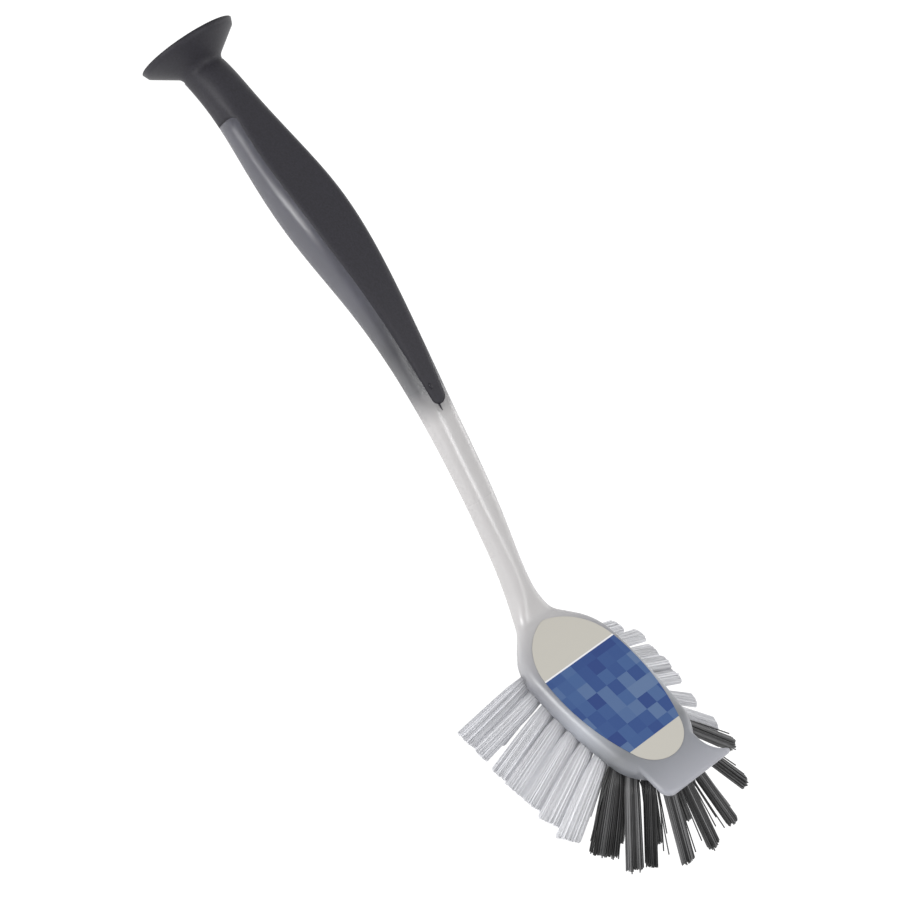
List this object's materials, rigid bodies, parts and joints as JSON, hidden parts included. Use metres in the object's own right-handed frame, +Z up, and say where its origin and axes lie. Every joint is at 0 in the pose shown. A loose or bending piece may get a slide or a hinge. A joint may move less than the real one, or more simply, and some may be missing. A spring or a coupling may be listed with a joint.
{
  "type": "dish brush",
  "caption": "Washing-up brush: milky plastic body with an oval head and a scraper tab, fanned white and black bristle tufts, and a dark soft grip ending in a suction cup.",
  "frame": {"origin": "on the table under the middle of the brush's bounding box, as it lies on its rear bristle tips and the suction cup's rim", "axes": "+X along the brush towards the scraper, +Z up, +Y to the brush's left seen from above with the head pointing forwards"},
  "size_m": [0.2958, 0.0768, 0.0529],
  "materials": {
    "milky_plastic": "satin, milky, slightly see-through",
    "soft_rubber": "satin, fine moulded grain",
    "label_film": "printed, slightly glossy",
    "white_bristle": "fine filaments",
    "black_bristle": "fine filaments",
    "anchor_metal": "cut strip"
  },
  "bodies": {
    "root": {"brush_body": "milky_plastic", "grip": "soft_rubber", "inner_black_tuft_left_6": "black_bristle", "inner_black_tuft_left_7": "black_bristle", "inner_black_tuft_right_6": "black_bristle", "inner_black_tuft_right_7": "black_bristle", "inner_white_tuft_left_1": "white_bristle", "inner_white_tuft_left_2": "white_bristle", "inner_white_tuft_left_3": "white_bristle", "inner_white_tuft_left_4": "white_bristle", "inner_white_tuft_left_5": "white_bristle", "inner_white_tuft_right_1": "white_bristle", "inner_white_tuft_right_2": "white_bristle", "inner_white_tuft_right_3": "white_bristle", "inner_white_tuft_right_4": "white_bristle", "inner_white_tuft_right_5": "white_bristle", "label": "label_film", "middle_black_tuft_5": "black_bristle", "middle_white_tuft_1": "white_bristle", "middle_white_tuft_2": "white_bristle", "middle_white_tuft_3": "white_bristle", "middle_white_tuft_4": "white_bristle", "outer_black_tuft_left_10": "black_bristle", "outer_black_tuft_left_11": "black_bristle", "outer_black_tuft_left_8": "black_bristle", "outer_black_tuft_left_9": "black_bristle", "outer_black_tuft_right_10": "black_bristle", "outer_black_tuft_right_11": "black_bristle", "outer_black_tuft_right_8": "black_bristle", "outer_black_tuft_right_9": "black_bristle", "outer_white_tuft_left_1": "white_bristle", "outer_white_tuft_left_2": "white_bristle", "outer_white_tuft_left_3": "white_bristle", "outer_white_tuft_left_4": "white_bristle", "outer_white_tuft_left_5": "white_bristle", "outer_white_tuft_left_6": "white_bristle", "outer_white_tuft_left_7": "white_bristle", "outer_white_tuft_right_1": "white_bristle", "outer_white_tuft_right_2": "white_bristle", "outer_white_tuft_right_3": "white_bristle", "outer_white_tuft_right_4": "white_bristle", "outer_white_tuft_right_5": "white_bristle", "outer_white_tuft_right_6": "white_bristle", "outer_white_tuft_right_7": "white_bristle", "tuft_anchors": "anchor_metal"}
  },
  "joints": []
}
